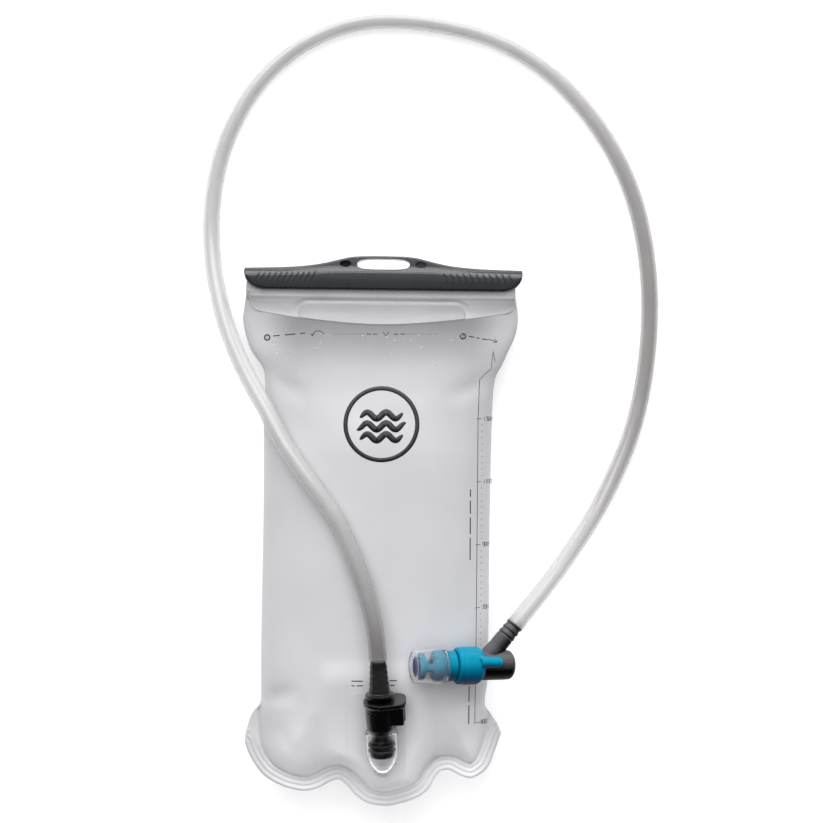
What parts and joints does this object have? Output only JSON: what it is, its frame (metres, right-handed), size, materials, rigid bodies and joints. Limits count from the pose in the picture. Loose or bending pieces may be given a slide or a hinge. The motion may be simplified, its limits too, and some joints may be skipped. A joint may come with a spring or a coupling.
{
  "type": "hydration bladder",
  "caption": "Flexible film water reservoir with a slide-seal top, quick-release drinking hose and twist shut-off bite valve.",
  "frame": {"origin": "middle of the underside of the reservoir with its slide-seal bar, on the surface it lies on", "axes": "+Z out of the reservoir's front, +Y along it towards the slide-seal bar, +X to the right seen from the front"},
  "size_m": [0.2549, 0.4392, 0.075],
  "materials": {
    "film": "frosted translucent film",
    "tab_film": "satin translucent film",
    "rail_plastic": "satin",
    "bar_plastic": "satin with a fine grain",
    "clear_moulding": "clear glossy",
    "black_plastic": "satin",
    "spring_steel": "drawn wire",
    "seal_rubber": "smooth",
    "hose_clear": "clear, slightly milky",
    "grey_plastic": "satin",
    "blue_plastic": "satin cyan blue",
    "clear_silicone": "clear soft silicone",
    "blue_silicone": "soft silicone"
  },
  "bodies": {
    "reservoir": {"front_panel": "film", "back_panel": "film", "mouth_grip_tab": "tab_film", "seal_rail_back": "rail_plastic", "seal_rail_front": "rail_plastic", "fold_core_strip": "rail_plastic", "port_fitting": "clear_moulding", "coupler_body": "black_plastic", "button_spring": "spring_steel", "nose_oring_upper": "seal_rubber", "nose_oring_lower": "seal_rubber", "poppet_spring": "spring_steel"},
    "slider": {"slide_seal_bar": "bar_plastic"},
    "button": {"release_button": "black_plastic"},
    "poppet": {"shutoff_poppet": "black_plastic", "poppet_seal": "seal_rubber"},
    "hose_set": {"hose_plug": "black_plastic", "plug_oring": "seal_rubber", "hose": "hose_clear", "valve_elbow": "grey_plastic", "spigot_oring_inner": "seal_rubber", "spigot_oring_outer": "seal_rubber"},
    "mouthpiece": {"shutoff_collar": "blue_plastic", "mouthpiece_core": "blue_plastic", "bite_sheath": "clear_silicone", "bite_membrane": "blue_silicone"}
  },
  "joints": [
    {"name": "slider_slide", "type": "slide", "parent": "reservoir", "child": "slider", "axis": [1, 0, 0], "range_m": [0, 0.16]},
    {"name": "plug_pull", "type": "slide", "parent": "reservoir", "child": "hose_set", "axis": [-0.0401, 0.9895, 0.1391], "range_m": [0, 0.018]},
    {"name": "poppet_close", "type": "slide", "parent": "reservoir", "child": "poppet", "axis": [-0.0401, 0.9895, 0.1391], "range_m": [0, 0.003]},
    {"name": "button_press", "type": "slide", "parent": "reservoir", "child": "button", "axis": [-0.9992, -0.0397, -0.0056], "range_m": [0, 0.0014], "stiffness_N_per_m": 400, "deforming": ["button_spring"]},
    {"name": "mouthpiece_twist", "type": "hinge", "parent": "hose_set", "child": "mouthpiece", "pos_m": [0.0698, -0.0704, 0.05], "axis": [-0.9565, 0.0222, 0.2909], "range_deg": [-90, 0]}
  ],
  "couplings": [
    {"joint": "poppet_close", "follows": "plug_pull", "ratio": 0.1666}
  ]
}
